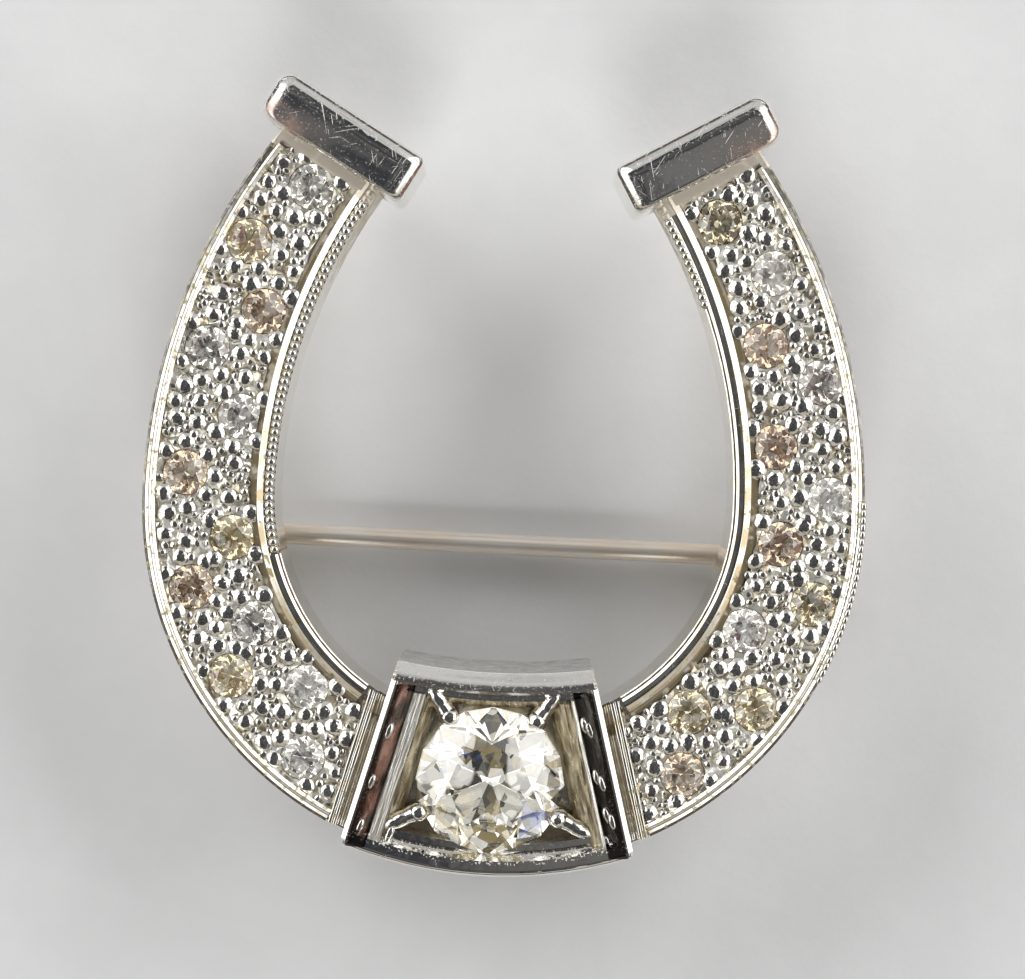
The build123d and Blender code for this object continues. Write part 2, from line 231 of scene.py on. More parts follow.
# The reeds beside the plaque: distances out from its side and heights, and the pieces along and across each
REEDS = ((0.08, -0.26), (0.235, -0.25), (0.385, 0.0), (0.54, 0.0))
REED_RADIUS = 0.09
REED_TOP_Y = -4.0
REED_STEP = 0.0125
REED_PLACES = 801
REED_LENGTHS = 12
REED_SIDES = 6

# Strips that dress the plaque, each a list of insets from its edge and heights over the rims' tops; at their
# ends they drop, at insets from the plaque's top and bottom lines or from its sides
END_DROP = 0.12
RIM_ENDS = (0.40, 0.10)
FRAME_ENDS = (0.80, 0.52)
WALL_ENDS = (0.90, 0.60)
TOP_BAR_INSET = -0.02
TOP_WALL_INSET = 1.0
SIDE_RIM_PROFILE = (
    (-0.02, 0.30), (-0.02, 0.57), (0.13, 0.665), (0.18, 0.67), (0.21, 0.65), (0.35, 0.52), (0.49, 0.395),
    (0.63, 0.262), (0.79, 0.13),
)
LEFT_FRAME_PROFILE = ((0.79, 0.13), (0.82, 0.30), (1.02, 0.34), (1.22, 0.37))
LEFT_WALL_PROFILE = ((1.22, 0.37), (1.26, 0.36), (1.47, 0.16), (1.67, -0.06))
RIGHT_FRAME_PROFILE = ((0.79, 0.13), (0.82, 0.40), (0.90, 0.45), (0.93, 0.44))
RIGHT_WALL_PROFILE = ((0.93, 0.44), (1.24, 0.30), (1.44, 0.17), (1.66, -0.08))
TOP_BAR_PROFILE = (
    (-0.03, 0.20), (-0.02, 0.36), (0.00, 0.39), (0.17, 0.492), (0.23, 0.537), (0.40, 0.635), (0.52, 0.685),
    (0.57, 0.69), (0.66, 0.62), (0.80, 0.29), (0.84, 0.30), (0.90, 0.335), (0.92, 0.33),
)
TOP_WALL_PROFILE = ((0.92, 0.33), (1.06, 0.20), (1.16, 0.06))

# Lumps that round off each claw, its tip and its tail: the distance from the centre stone's middle, the
# radius across the claw and how many times longer the lump is along it
CLAW_LUMPS = ((2.56, 0.37, 1.0), (3.22, 0.29, 2.2))
CLAW_HEADINGS = (55.7, 124.3, 205.6, 334.4)

# Small beads on the plaque's right and left slopes: places on the face and heights
SLOPE_BEADS = (
    (3.02, -7.46, 0.24), (3.20, -7.60, 0.36), (3.50, -9.16, 0.24), (3.69, -9.32, 0.38),
    (3.90, -10.40, 0.30), (4.09, -10.58, 0.42), (3.97, -11.36, 0.22), (4.16, -11.54, 0.34),
    (-3.90, -9.61, 0.46), (-3.40, -7.91, 0.42), (-4.22, -11.12, 0.40), (-3.22, -11.30, 0.30),
)


class Socket:
    """A value in a node tree. Python's operators on it add Math nodes."""

    def __init__(self, tree, socket):
        self.tree = tree
        self.socket = socket

    def math(self, operation, *others):
        """A Math node on this value and up to two others."""
        return self.tree.node("ShaderNodeMath", {"operation": operation}, dict(enumerate((self, *others))))

    def __add__(self, other):
        return self.math("ADD", other)

    __radd__ = __add__

    def __sub__(self, other):
        return self.math("SUBTRACT", other)

    def __rsub__(self, other):
        return (self * -1) + other

    def __mul__(self, other):
        return self.math("MULTIPLY", other)

    __rmul__ = __mul__

    def __truediv__(self, other):
        return self.math("DIVIDE", other)

    def __pow__(self, other):
        return self.math("POWER", other)

    def __abs__(self):
        return self.math("ABSOLUTE")

    def __neg__(self):
        return self * -1

    def above(self, low, high):
        """0 below low and 1 above high, smooth between them; with low the larger it falls instead."""
        return self.tree.node(
            "ShaderNodeMapRange",
            {"interpolation_type": "SMOOTHSTEP"},
            {"Value": self, "From Min": low, "From Max": high},
        )

    def between(self, low, high, edge, upper_edge=None):
        """1 between two values and 0 outside them, with smooth edges inside them."""
        return self.above(low, low + edge) * self.above(high, high - (upper_edge or edge))


class Tree:
    """A node tree that is built by calls; every value in it is a Socket."""

    def __init__(self, tree):
        self.tree = tree

    def node(self, kind, settings=None, inputs=None, output=0):
        """Adds a node: its settings, then the values or links of its sockets. Gives one of its outputs."""
        node = self.tree.nodes.new(kind)
        for name, value in (settings or {}).items():
            setattr(node, name, value)
        for name, value in (inputs or {}).items():
            socket = node.inputs[name]
            if isinstance(value, Socket):
                self.tree.links.new(value.socket, socket)
            else:
                socket.default_value = value
        return Socket(self, node.outputs[output]) if len(node.outputs) else node

    def ramp(self, factor, *stops):
        """A colour that runs through stops, each a factor and a colour."""
        colour = self.node("ShaderNodeValToRGB", None, {"Fac": factor})
        elements = colour.socket.node.color_ramp.elements
        while len(elements) < len(stops):
            elements.new(1.0)
        for element, (place, stop) in zip(elements, stops):
            element.position = place
            element.color = self.solid(stop)
        return colour

    def mix(self, factor, first, second):
        """A colour between two others."""
        inputs = {0: factor, 6: self.solid(first), 7: self.solid(second)}
        return self.node("ShaderNodeMix", {"data_type": "RGBA"}, inputs, output=2)

    def solid(self, colour):
        """A colour with its alpha, or a linked colour as it is."""
        return colour if isinstance(colour, Socket) or len(colour) == 4 else (*colour, 1.0)

    def vector(self, operation, *values):
        """A Vector Math node."""
        return self.node("ShaderNodeVectorMath", {"operation": operation}, dict(enumerate(values)))

    def split(self, vector):
        """A vector's three parts."""
        first = self.node("ShaderNodeSeparateXYZ", None, {"Vector": vector})
        return [Socket(self, output) for output in first.socket.node.outputs]

    def joined(self, x, y, z):
        """A vector from its three parts."""
        return self.node("ShaderNodeCombineXYZ", None, {"X": x, "Y": y, "Z": z})


class Finish(Tree):
    """A material made of nodes, with the brooch's own measures in millimetres for its patterns."""

    def __init__(self, name):
        self.material = bpy.data.materials.new(name)
        self.material.use_nodes = True
        super().__init__(self.material.node_tree)
        self.tree.nodes.clear()
        coordinates = self.node("ShaderNodeTexCoord", output="Object")
        moved = self.vector("ADD", coordinates, (0.0, -OUTLINE_Y * MM, -RIM_Z * MM))
        scale = {"operation": "SCALE"}
        self.place = self.node("ShaderNodeVectorMath", scale, {0: moved, "Scale": 1 / MM})
        self.x, self.y, self.z = self.split(self.place)

    def noise(self, scale, detail=2.0, roughness=0.5, distortion=0.0, at=None):
        """Noise from 0 to 1, its scale in cells to the millimetre."""
        shape = {"Scale": scale, "Detail": detail, "Roughness": roughness, "Distortion": distortion}
        return self.node("ShaderNodeTexNoise", None, {"Vector": at or self.place, **shape})

    def cells(self, scale, place):
        """Three random values that are the same all over a cell, like a facet's."""
        inputs = {"Vector": place, "Scale": scale}
        return self.split(self.node("ShaderNodeTexVoronoi", None, inputs, output="Color"))

    def turned(self, degrees, along, across):
        """The place turned about Z and stretched, so that noise on it makes streaks."""
        turn = math.radians(degrees)
        u = self.x * math.cos(turn) + self.y * math.sin(turn)
        v = self.y * math.cos(turn) - self.x * math.sin(turn)
        return self.joined(u * along, v * across, self.z)

    def scratches(self, angles, share, length, width):
        """Fine scratches along several headings: 1 in a scratch and 0 between them."""
        total = None
        for number, degrees in enumerate(angles):
            streaks = self.noise(1.0, 1.0, 0.4, 0.35, at=self.turned(degrees, 1 / length, 1 / width / 2))
            gaps = self.noise(0.55 + 0.07 * number, 1.0)
            lines = streaks.above(share, share + 0.06) * gaps.above(0.5, 0.62)
            total = lines if total is None else total.math("MAXIMUM", lines)
        return total

    def metal(self, tone, rough, height, distance, metallic=1.0):
        """A metal surface with a bump of a height pattern, its full distance in millimetres."""
        normal = self.bump(height, distance)
        return self.surface(Base_Color=tone, Metallic=metallic, Roughness=rough, Normal=normal)

    def surface(self, **values):
        """Links a Principled shader with these sockets to the material's output."""
        inputs = {name.replace("_", " "): value for name, value in values.items()}
        shader = self.node("ShaderNodeBsdfPrincipled", None, inputs)
        self.node("ShaderNodeOutputMaterial", None, {"Surface": shader})
        return self.material

    def diamond(self, colour, glow, strength):
        """A clear diamond's surface, with painted light: an emission inside its facets."""
        return self.surface(
            Base_Color=self.solid(colour), Roughness=0.0, IOR=DIAMOND_INDEX, Transmission_Weight=1.0,
            Emission_Color=glow, Emission_Strength=strength,
        )

    def bump(self, height, distance, strength=1.0, normal=None):
        """A bump normal from a height, with its full distance in millimetres."""
        inputs = {"Height": height, "Distance": distance * MM, "Strength": strength}
        if normal is not None:
            inputs["Normal"] = normal
        return self.node("ShaderNodeBump", None, inputs)


def band_across(finish):
    """How far across the shoe's band a point is: -1 at the inner edge, 1 at the outer edge."""
    up = finish.y - MIDDLE_WIDEST_Y
    on_arm = up.math("GREATER_THAN", 0.0)
    centre = on_arm * (MIDDLE_HALF_WIDTH - MIDDLE_ARM_RADIUS)
    radius = on_arm * (MIDDLE_ARM_RADIUS - MIDDLE_HALF_WIDTH) + MIDDLE_HALF_WIDTH
    side = abs(finish.x) - centre
    reach = (side * side + up * up).math("SQRT")
    return (reach - radius) / BAND_HALF


def plaque_inset(finish):
    """How far inside the plaque's sides a point is, in millimetres, and 0 or less outside them."""
    half = (PLAQUE_TOP_Y - finish.y) * PLAQUE_SLOPE + PLAQUE_TOP_HALF
    below_top = finish.y.math("LESS_THAN", PLAQUE_TOP_Y + 0.05)
    return (half - abs(finish.x)) / PLAQUE_SECANT * below_top


def cap_coordinates(finish):
    """How far a point is along the heel cap, outward from its middle, and how far over it."""
    out = abs(finish.x) - CAP_X
    up = finish.y - CAP_Y
    cosine, sine = math.cos(CAP_TILT), math.sin(CAP_TILT)
    return out * cosine + up * sine, up * cosine - out * sine


def arm_masks(finish, patches, over_cap):
    """Where the film lies in the sunk field, its groove and the rim's step, and where the walls are."""
    across = band_across(finish)
    outside = plaque_inset(finish).math("LESS_THAN", 0.001)
    on_arm = outside * over_cap.above(-0.72, -0.80)
    sunk = on_arm * finish.z.above(-0.50, -0.35)
    recess = abs(across).above(0.97, 0.90) * on_arm * finish.z.above(-0.10, -0.16) * (patches * 0.5 + 0.5)
    groove = across.between(*GROOVE_BAND) * sunk * finish.z.above(-0.10, -0.15)
    step = across.between(*STEP_BAND) * sunk * finish.z.above(-0.14, -0.10) * finish.y.above(6.0, -1.0)
    wall = outside * finish.z.above(0.12, 0.06)
    return recess, groove, step, wall, wall * across.above(0.0, 0.2)


def plaque_masks(finish, patches):
    """Where the film lies in the plaque's well, painted shade on its rear wall, painted reflections on its
    slopes, its dusty bottom line.
    """
    inset = plaque_inset(finish)
    below_rim = abs(finish.y - SLOPE_MIDDLE_Y).math("LESS_THAN", SLOPE_HALF_LENGTH)
    well = (
        inset.above(WELL_INSET - 0.02, WELL_INSET + 0.02) * finish.z.above(0.20, 0.10)
        * (patches * 0.4 + 0.6) * below_rim
    )
    # Painted shade: the plaque's rear wall is darkened to grey, and made rougher and less metallic.
    rear_wall_shade = (
        abs(finish.y - PLAQUE_TOP_Y + PLAQUE_TOP_DIP / 2).above(0.22, 0.19) * finish.z.above(0.34, 0.20)
        * abs(finish.x).math("LESS_THAN", PLAQUE_TOP_HALF + 0.02) * (patches * 0.5 + 0.45)
    )
    # Painted reflection: the plaque's polished slopes are coloured near black, standing in for the dark that
    # they reflect.
    slope = inset.between(*SLOPE_BAND) * below_rim * finish.z.above(-1.2, -0.9)
    left = finish.x.math("LESS_THAN", 0.0)
    # Painted reflection: a reddish band on the left slope stands in for the red that the polished slope
    # reflects.
    red = slope * left * inset.between(*RED_BAND) * (finish.noise(0.9, 3.0).above(0.42, 0.60) * 0.9 + 0.1)
    over = inset.above(0.0, 0.05)
    bulge = (1 - (finish.x / PLAQUE_BOTTOM_HALF) ** 2) * PLAQUE_BOTTOM_BULGE
    bottom = finish.y - PLAQUE_BOTTOM_Y + bulge
    band = bottom.above(0.95, 0.85) * over
    return well, rear_wall_shade, slope, red, over, band, band * bottom.between(*BOTTOM_LINE)


def cap_masks(finish, patches, along_cap, over_cap):
    """Where the ledge below each heel cap, the cap's face and the reddish reflection painted on it are."""
    ledge = over_cap.between(*LEDGE_BAND) * finish.z.above(0.16, 0.08) * finish.z.above(-0.45, -0.15)
    face = abs(over_cap).above(0.85, 0.80) * finish.z.above(0.15, 0.30)
    # Painted reflection: a reddish-brown tint towards the lower outer end of each cap's face.
    cap_red_reflection = (
        face * over_cap.above(0.20, -0.55) * along_cap.above(-0.4, 2.0) * finish.z.above(0.40, 0.50)
        * (patches * 0.7 + 0.2)
    )
    return ledge, face, cap_red_reflection


def white_gold_finish(sizes):
    """Polished white gold with fine scratches, a warm dull film in the recesses and below the caps, and
    painted light, shade and reflections.
    """
    finish = Finish("polished_gold")
    patches = finish.noise(1.7, 4.0, 0.6).above(0.30, 0.70)
    along_cap, over_cap = cap_coordinates(finish)
    recess, groove, step, wall, outer_wall = arm_masks(finish, patches, over_cap)
    well, rear_wall_shade, slope, red, over_plaque, band, line = plaque_masks(finish, patches)
    ledge, cap_face, cap_red_reflection = cap_masks(finish, patches, along_cap, over_cap)
    dull = recess.math("MAXIMUM", well).math("MAXIMUM", ledge * (patches * 0.4 + 0.5))
    stains = finish.noise(3.7, 3.0, 0.6).above(0.54, 0.66) * outer_wall
    yellow = step * finish.noise(1.5, 3.0).above(0.40, 0.58)
    olive = step * finish.noise(1.9, 3.0, 0.6, 0.2).above(0.56, 0.62)
    marks = finish.scratches((12.0, 58.0, 101.0, 149.0), 0.70, 0.9, 0.02) * (cap_face * 0.4 + 0.4)
    marks = marks * finish.z.above(-0.35, -0.25)
    plain = (cap_face + over_plaque).math("MINIMUM", 1.0)
    grain = finish.noise(12.0, 2.0)
    specks = grain.above(0.61, 0.69) * plain * (1 - band) * 0.35 + grain.above(0.585, 0.65) * line

    # Each layer's mask, its strength and colour, the roughness that it adds and the metal that it hides
    layers = (
        (finish.noise(2.6, 2.0).above(0.46, 0.62) * wall, 0.8, (0.84, 0.78, 0.62), 0.0, 0.0),
        (stains, 0.9, (0.42, 0.37, 0.23), 0.3, 0.5),
        (recess, 0.0, None, 0.34, 0.3),
        (well, 0.0, None, 0.25, 0.2),
        (dull, 1.0, tuple(sizes.film_colour), 0.0, 0.0),
        # Partly painted light: the ledge's film is real, but its colour is made lighter to stand in for
        # light in the caps' shade
        (ledge, 1.0, (0.80, 0.73, 0.62), 0.32, 0.6),
        (groove, 0.0, None, 0.4, 0.5),
        (groove * finish.noise(2.2, 3.0).above(0.62, 0.50), 1.0, (0.22, 0.175, 0.10), 0.0, 0.0),
        (yellow, 1.0, (0.72, 0.60, 0.40), 0.25, 0.3),
        (olive, 1.0, (0.30, 0.25, 0.15), 0.0, 0.2),
        # Painted shade on the plaque's rear wall
        (rear_wall_shade, 0.9, (0.34, 0.34, 0.33), 0.5, 0.4),
        # Painted dark reflection on the plaque's slopes
        (slope, 1.0, (0.10, 0.095, 0.09), 0.0, 0.0),
        # Painted red reflection on the plaque's left slope
        (red, 1.0, (0.33, 0.19, 0.15), 0.0, 0.3),
        # Painted red reflection on the heel caps
        (cap_red_reflection, 1.0, (0.62, 0.37, 0.28), 0.36, 0.22),
        (marks, 0.0, None, 0.25, 0.0),
        (marks * cap_face, 0.0, None, 0.0, 0.35),
        (specks, 0.0, None, 0.45, 0.6),
    )
    tone = tuple(sizes.gold_colour)
    rough = finish.noise(0.9, 3.0) * 0.08 + 0.04
    bare = 1.0
    for mask, strength, colour, roughness, hidden in layers:
        if colour:
            tone = finish.mix(mask * strength, tone, colour)
        if roughness:
            rough = rough + mask * roughness
        if hidden:
            bare = bare - mask * hidden
    soft = finish.bump(finish.noise(1.1, 2.0), 0.012)
    normal = finish.bump(marks + specks, 0.005, 0.8, soft)
    return finish.surface(Base_Color=tone, Metallic=bare, Roughness=rough, Normal=normal)


def plaque_streaks(finish, detail, across, along, down):
    """Noise stretched along the plaque's sides, from its scales across them, along them and downward."""
    slant = abs(finish.x) + finish.y * PLAQUE_SLOPE
    return finish.noise(1.0, detail, at=finish.joined(slant * across, finish.y * along, finish.z * down))


def frame_gold_finish():
    """White gold of the low frame round the centre stone, streaked by the file along its sides."""
    finish = Finish("frame_gold")
    streaks = plaque_streaks(finish, 2.0, 16, 0.7, 0.0)
    tone = finish.mix(streaks.above(0.40, 0.65) * 0.7, (0.93, 0.92, 0.88), (0.58, 0.51, 0.40))
    return finish.metal(tone, streaks * 0.25 + 0.18, streaks, 0.03, 0.8)


def well_gold_finish():
    """White gold of the walls round the centre stone, under an uneven olive-brown film."""
    finish = Finish("well_gold")
    streaks = plaque_streaks(finish, 3.0, 7, 1.1, 3)
    tone = finish.ramp(
        streaks, (0.30, (0.15, 0.12, 0.085)), (0.48, (0.36, 0.31, 0.21)), (0.62, (0.58, 0.52, 0.39)),
        (0.80, (0.80, 0.77, 0.66)),
    )
    return finish.metal(tone, finish.noise(3.0, 3.0) * 0.30 + 0.16, streaks, 0.05)


def bead_gold_finish(sizes):
    """White gold of the grains, chips, claws and slope beads: bright, with small cutter marks."""
    finish = Finish("bead_gold")
    spots = finish.noise(2.3, 3.0).above(0.45, 0.75)
    tone = finish.mix(spots * 0.35, tuple(sizes.gold_colour), tuple(sizes.film_colour))
    return finish.metal(tone, finish.noise(4.0, 2.0) * 0.10 + 0.04, finish.noise(3.0, 2.0), 0.05)


def cut_gold_finish():
    """White gold of the cuts between the grains: some bright, others olive, yellowish or brown."""
    finish = Finish("cut_gold")
    tone = finish.ramp(
        finish.noise(1.3, 3.0, 0.6), (0.40, (0.95, 0.94, 0.91)), (0.54, (0.90, 0.86, 0.74)),
        (0.62, (0.60, 0.53, 0.38)), (0.74, (0.40, 0.31, 0.22)),
    )
    return finish.metal(tone, finish.noise(2.5, 3.0) * 0.40 + 0.10, finish.noise(3.0, 2.0), 0.03, 0.7)


def pin_gold_finish(sizes):
    """Drawn wire of rose-tinted gold, with lines along it and a paler worn stretch or two."""
    finish = Finish("pin_gold")
    lines = finish.noise(1.0, 2.0, at=finish.joined(finish.x * 0.25, finish.y * 22, finish.z * 22))
    worn = finish.noise(0.5, 3.0).above(0.40, 0.65)
    tone = finish.mix(worn * 0.55, tuple(sizes.pin_colour), tuple(sizes.gold_colour))
    return finish.metal(tone, lines * 0.20 + 0.24, lines, 0.006, 0.75)


def diamond_finish(name, colour, painted_body_glow, painted_white_share):
    """A cut diamond: clear, with painted light in facet-like patches of white and of its body colour, and
    painted flashes.
    """
    finish = Finish(name)
    hue, chance, pick = finish.cells(2.9, finish.vector("MULTIPLY", finish.place, (1.0, 1.0, 0.6)))
    flash = finish.node("ShaderNodeCombineColor", {"mode": "HSV"}, {0: hue, 1: 0.6, 2: 0.8})
    white = pick.above(painted_white_share + 0.02, painted_white_share - 0.02)
    body = chance.above(0.50, 0.56) * (1 - white)
    fire = hue.above(0.90, 0.93) * (1 - white)
    # Painted light: the emission glows white, in the body colour and in rainbow flashes
    glow = finish.mix(body, (0.0, 0.0, 0.0), painted_body_glow)
    glow = finish.mix(white, glow, (1.6, 1.57, 1.5))
    glow = finish.mix(fire * 0.6, glow, flash)
    return finish.diamond(colour, glow, 0.07)


def centre_finish():
    """The half-carat diamond, with painted light: white towards its upper corners, a pale yellow glow below
    and a blue flash.
    """
    finish = Finish("centre_diamond")
    up = finish.y - CENTRE_STONE_Y
    hue, chance, pick = finish.cells(2.2, finish.place)
    # Painted light: the emission makes white patches towards the upper corners, sparks, a yellow glow lower
    # down and a blue flash low on the right
    crown = finish.z.above(0.10, 0.20)
    upper = up.above(-0.5, 0.5) * abs(finish.x).above(0.25, 0.95)
    white = crown * upper.above(0.25, 0.5) * pick.above(0.80, 0.76)
    spark = crown * chance.above(0.92, 0.94) * (1 - white)
    yellow = crown * up.above(0.3, -0.8) * chance.above(0.45, 0.35) * (1 - spark)
    blue = crown * finish.x.above(0.9, 1.3) * up.above(-0.2, -0.5) * hue.above(0.62, 0.66)
    glow = finish.mix(yellow, (0.0, 0.0, 0.0), (0.15, 0.115, 0.04))
    glow = finish.mix((white + spark).math("MINIMUM", 1.0), glow, (0.46, 0.455, 0.43))
    glow = finish.mix(blue * 0.9, glow, (0.04, 0.08, 0.26))
    return finish.diamond((0.97, 0.935, 0.83), glow, 1.0)


def give(node_name, material):
    """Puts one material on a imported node."""
    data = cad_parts[node_name].data
    data.materials.clear()
    data.materials.append(material)


def finish_mesh(name, points, faces, smooth_below=None):
    """A new object at the origin with this mesh, in metres, smooth over edges below an angle in degrees."""
    mesh = bpy.data.meshes.new(name)
    mesh.from_pydata([tuple(point) for point in points], [], faces)
    mesh.validate()
    if smooth_below is not None:
        mesh.shade_smooth()
        mesh.set_sharp_from_angle(angle=math.radians(smooth_below))
    piece = bpy.data.objects.new(name, mesh)
    bpy.context.scene.collection.objects.link(piece)
    return piece


def scatter_tree(name, material):
    """A node tree that sets a squashed, slightly uneven bead on every point, turned by the point's turn.

    Dome runs from 0, a ball, to 1, a cushion whose sides fall off evenly.
    """
    group = bpy.data.node_groups.new(name, "GeometryNodeTree")
    interface = group.interface
    interface.new_socket("Geometry", in_out="OUTPUT", socket_type="NodeSocketGeometry")
    interface.new_socket("Geometry", in_out="INPUT", socket_type="NodeSocketGeometry")
    for label in ("Radius", "Width", "Flatness", "Dome", "Tilt", "Unevenness"):
        interface.new_socket(label, in_out="INPUT", socket_type="NodeSocketFloat")
    for label in ("Seed", "Segments", "Rings"):
        interface.new_socket(label, in_out="INPUT", socket_type="NodeSocketInt")
    tree = Tree(group)
    start = group.nodes.new("NodeGroupInput")
    given = {output.name: Socket(tree, output) for output in start.outputs if output.name}
    bead = tree.node(
        "GeometryNodeMeshUVSphere",
        None,
        {"Segments": given["Segments"], "Rings": given["Rings"], "Radius": given["Radius"]},
        output="Mesh",
    )
    x, y, z = tree.split(tree.node("GeometryNodeInputPosition"))
    domed = z * (1 - given["Dome"] + given["Dome"] * abs(z) / given["Radius"])
    moved = {"Geometry": bead, "Position": tree.joined(x, y, domed)}
    shaped = tree.node("GeometryNodeSetPosition", None, moved)
    smooth = tree.node("GeometryNodeSetShadeSmooth", None, {"Geometry": shaped})
    least, most = 1 - given["Unevenness"], 1 + given["Unevenness"]
    kind = {"data_type": "FLOAT"}
    limits = {2: least, 3: most, "Seed": given["Seed"]}
    size = tree.node("FunctionNodeRandomValue", kind, limits, output=1)
    shape = tree.joined(size * given["Width"], size, size * given["Flatness"])
    turn = tree.node("GeometryNodeInputNamedAttribute", kind, {"Name": "turn"})
    tilt = {2: -given["Tilt"], 3: given["Tilt"]}
    lean = [
        tree.node("FunctionNodeRandomValue", kind, {**tilt, "Seed": seed}, output=1) for seed in LEAN_SEEDS
    ]
    rotation = tree.node("FunctionNodeEulerToRotation", None, {0: tree.joined(*lean, turn)})
    points = tree.node("GeometryNodeMeshToPoints", None, {"Mesh": given["Geometry"]})
    instances = tree.node(
        "GeometryNodeInstanceOnPoints",
        None,
        {"Points": points, "Instance": smooth, "Rotation": rotation, "Scale": shape},
    )
    real = tree.node("GeometryNodeRealizeInstances", None, {"Geometry": instances})
    painted = tree.node("GeometryNodeSetMaterial", None, {"Geometry": real, "Material": material})
    end = group.nodes.new("NodeGroupOutput")
    group.links.new(painted.socket, end.inputs[0])
    return group


def bead_piece(name, places, material, **values):
    """One plain mesh of beads on the shoe, made by the scatter tree; each place is a point and its turn."""
    piece = finish_mesh(name, [point for point, turn in places], [])
    turns = piece.data.attributes.new("turn", "FLOAT", "POINT")
    turns.data.foreach_set("value", [turn for point, turn in places])
    modifier = piece.modifiers.new("beads", "NODES")
    modifier.node_group = scatter_tree(name, material)
    for item in modifier.node_group.interface.items_tree:
        if item.item_type == "SOCKET" and item.in_out == "INPUT" and item.name.lower() in values:
            modifier[item.identifier] = values[item.name.lower()]
    bpy.context.view_layer.update()
    depsgraph = bpy.context.evaluated_depsgraph_get()
    mesh = bpy.data.meshes.new_from_object(piece.evaluated_get(depsgraph))
    mesh.name = name
    piece.modifiers.clear()
    piece.data = mesh
    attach(piece, "shoe")


def rim_places(edge, side, first, last, inset, z, pitch):
    """Points along one edge of an arm, from one angle to another, a pitch apart, and each one's turn."""
    places = []
    angle = first
    while angle > last:
        (x, y), (out_x, out_y) = band_edge(edge, angle)
        turn = math.atan2(out_y, side * out_x)
        places.append((placed(side * (x + inset * out_x), y + inset * out_y, z), turn))
        radius = edge[1] if angle > 0 else edge[0]
        angle -= math.degrees(pitch / radius)
    return places


def ribbon(rows):
    """A sheet through rows of points, all of one length: its points and its faces."""
    count = len(rows[0])
    faces = [
        (start + k, start + k + 1, start + count + k + 1, start + count + k)
        for start in range(0, (len(rows) - 1) * count, count)
        for k in range(count - 1)
    ]
    return [point for row in rows for point in row], faces


def swept_strip(edge, side, first, last, profile):
    """A strip along an edge; its profile's pairs are a distance into the band and a height."""
    inward = 1 if edge is INNER_EDGE else -1
    rows = []
    for step in range(STRIP_STEPS + 1):
        (x, y), (out_x, out_y) = band_edge(edge, first + (last - first) * step / STRIP_STEPS)
        rows.append([
            placed(side * (x + inward * inset * out_x), y + inward * inset * out_y, height)
            for inset, height in profile
        ])
    return ribbon(rows)


def plaque_top_line(x, inset):
    """The height of a line that runs inside the plaque's top edge at an inset, at a place across it."""
    return PLAQUE_TOP_Y - inset - PLAQUE_TOP_DIP * (1 - (x / PLAQUE_TOP_HALF) ** 2)


def plaque_bottom_line(x, inset):
    """The height of a line that runs inside the plaque's bottom edge at an inset, at a place across it."""
    return PLAQUE_BOTTOM_Y + inset - PLAQUE_BOTTOM_BULGE * (1 - (x / PLAQUE_BOTTOM_HALF) ** 2)


def plaque_side_strip(side, profile, top_inset, bottom_inset):
    """A strip along one side of the plaque that drops off at insets from its top and bottom lines."""
    rows = []
    for share, drop in ((0.0, END_DROP), (0.025, 0.0), (0.5, 0.0), (0.97, 0.0), (1.0, END_DROP)):
        row = []
        for inset, height in profile:
            high = plaque_top_line(PLAQUE_TOP_HALF - inset, top_inset)
            low = PLAQUE_BOTTOM_Y
            for _ in range(6):
                low = plaque_bottom_line(plaque_half(low) - inset * PLAQUE_SECANT, bottom_inset)
            y = high + (low - high) * share
            row.append(placed(side * (plaque_half(y) - inset * PLAQUE_SECANT), y, height - drop))
        rows.append(row)
    return ribbon(rows)


def plaque_top_strip(profile, side_inset):
    """A strip along the plaque's top edge that drops off at insets from its sides."""
    rows = []
    for step in range(-13, 14):
        share = max(-1.0, min(1.0, step / 12.4))
        drop = END_DROP if abs(step) == 13 else 0.0
        row = []
        for inset, height in profile:
            x = share * (plaque_half(PLAQUE_TOP_Y - inset) - side_inset * PLAQUE_SECANT)
            row.append(placed(x, plaque_top_line(x, inset), height - drop))
        rows.append(row)
    return ribbon(rows)


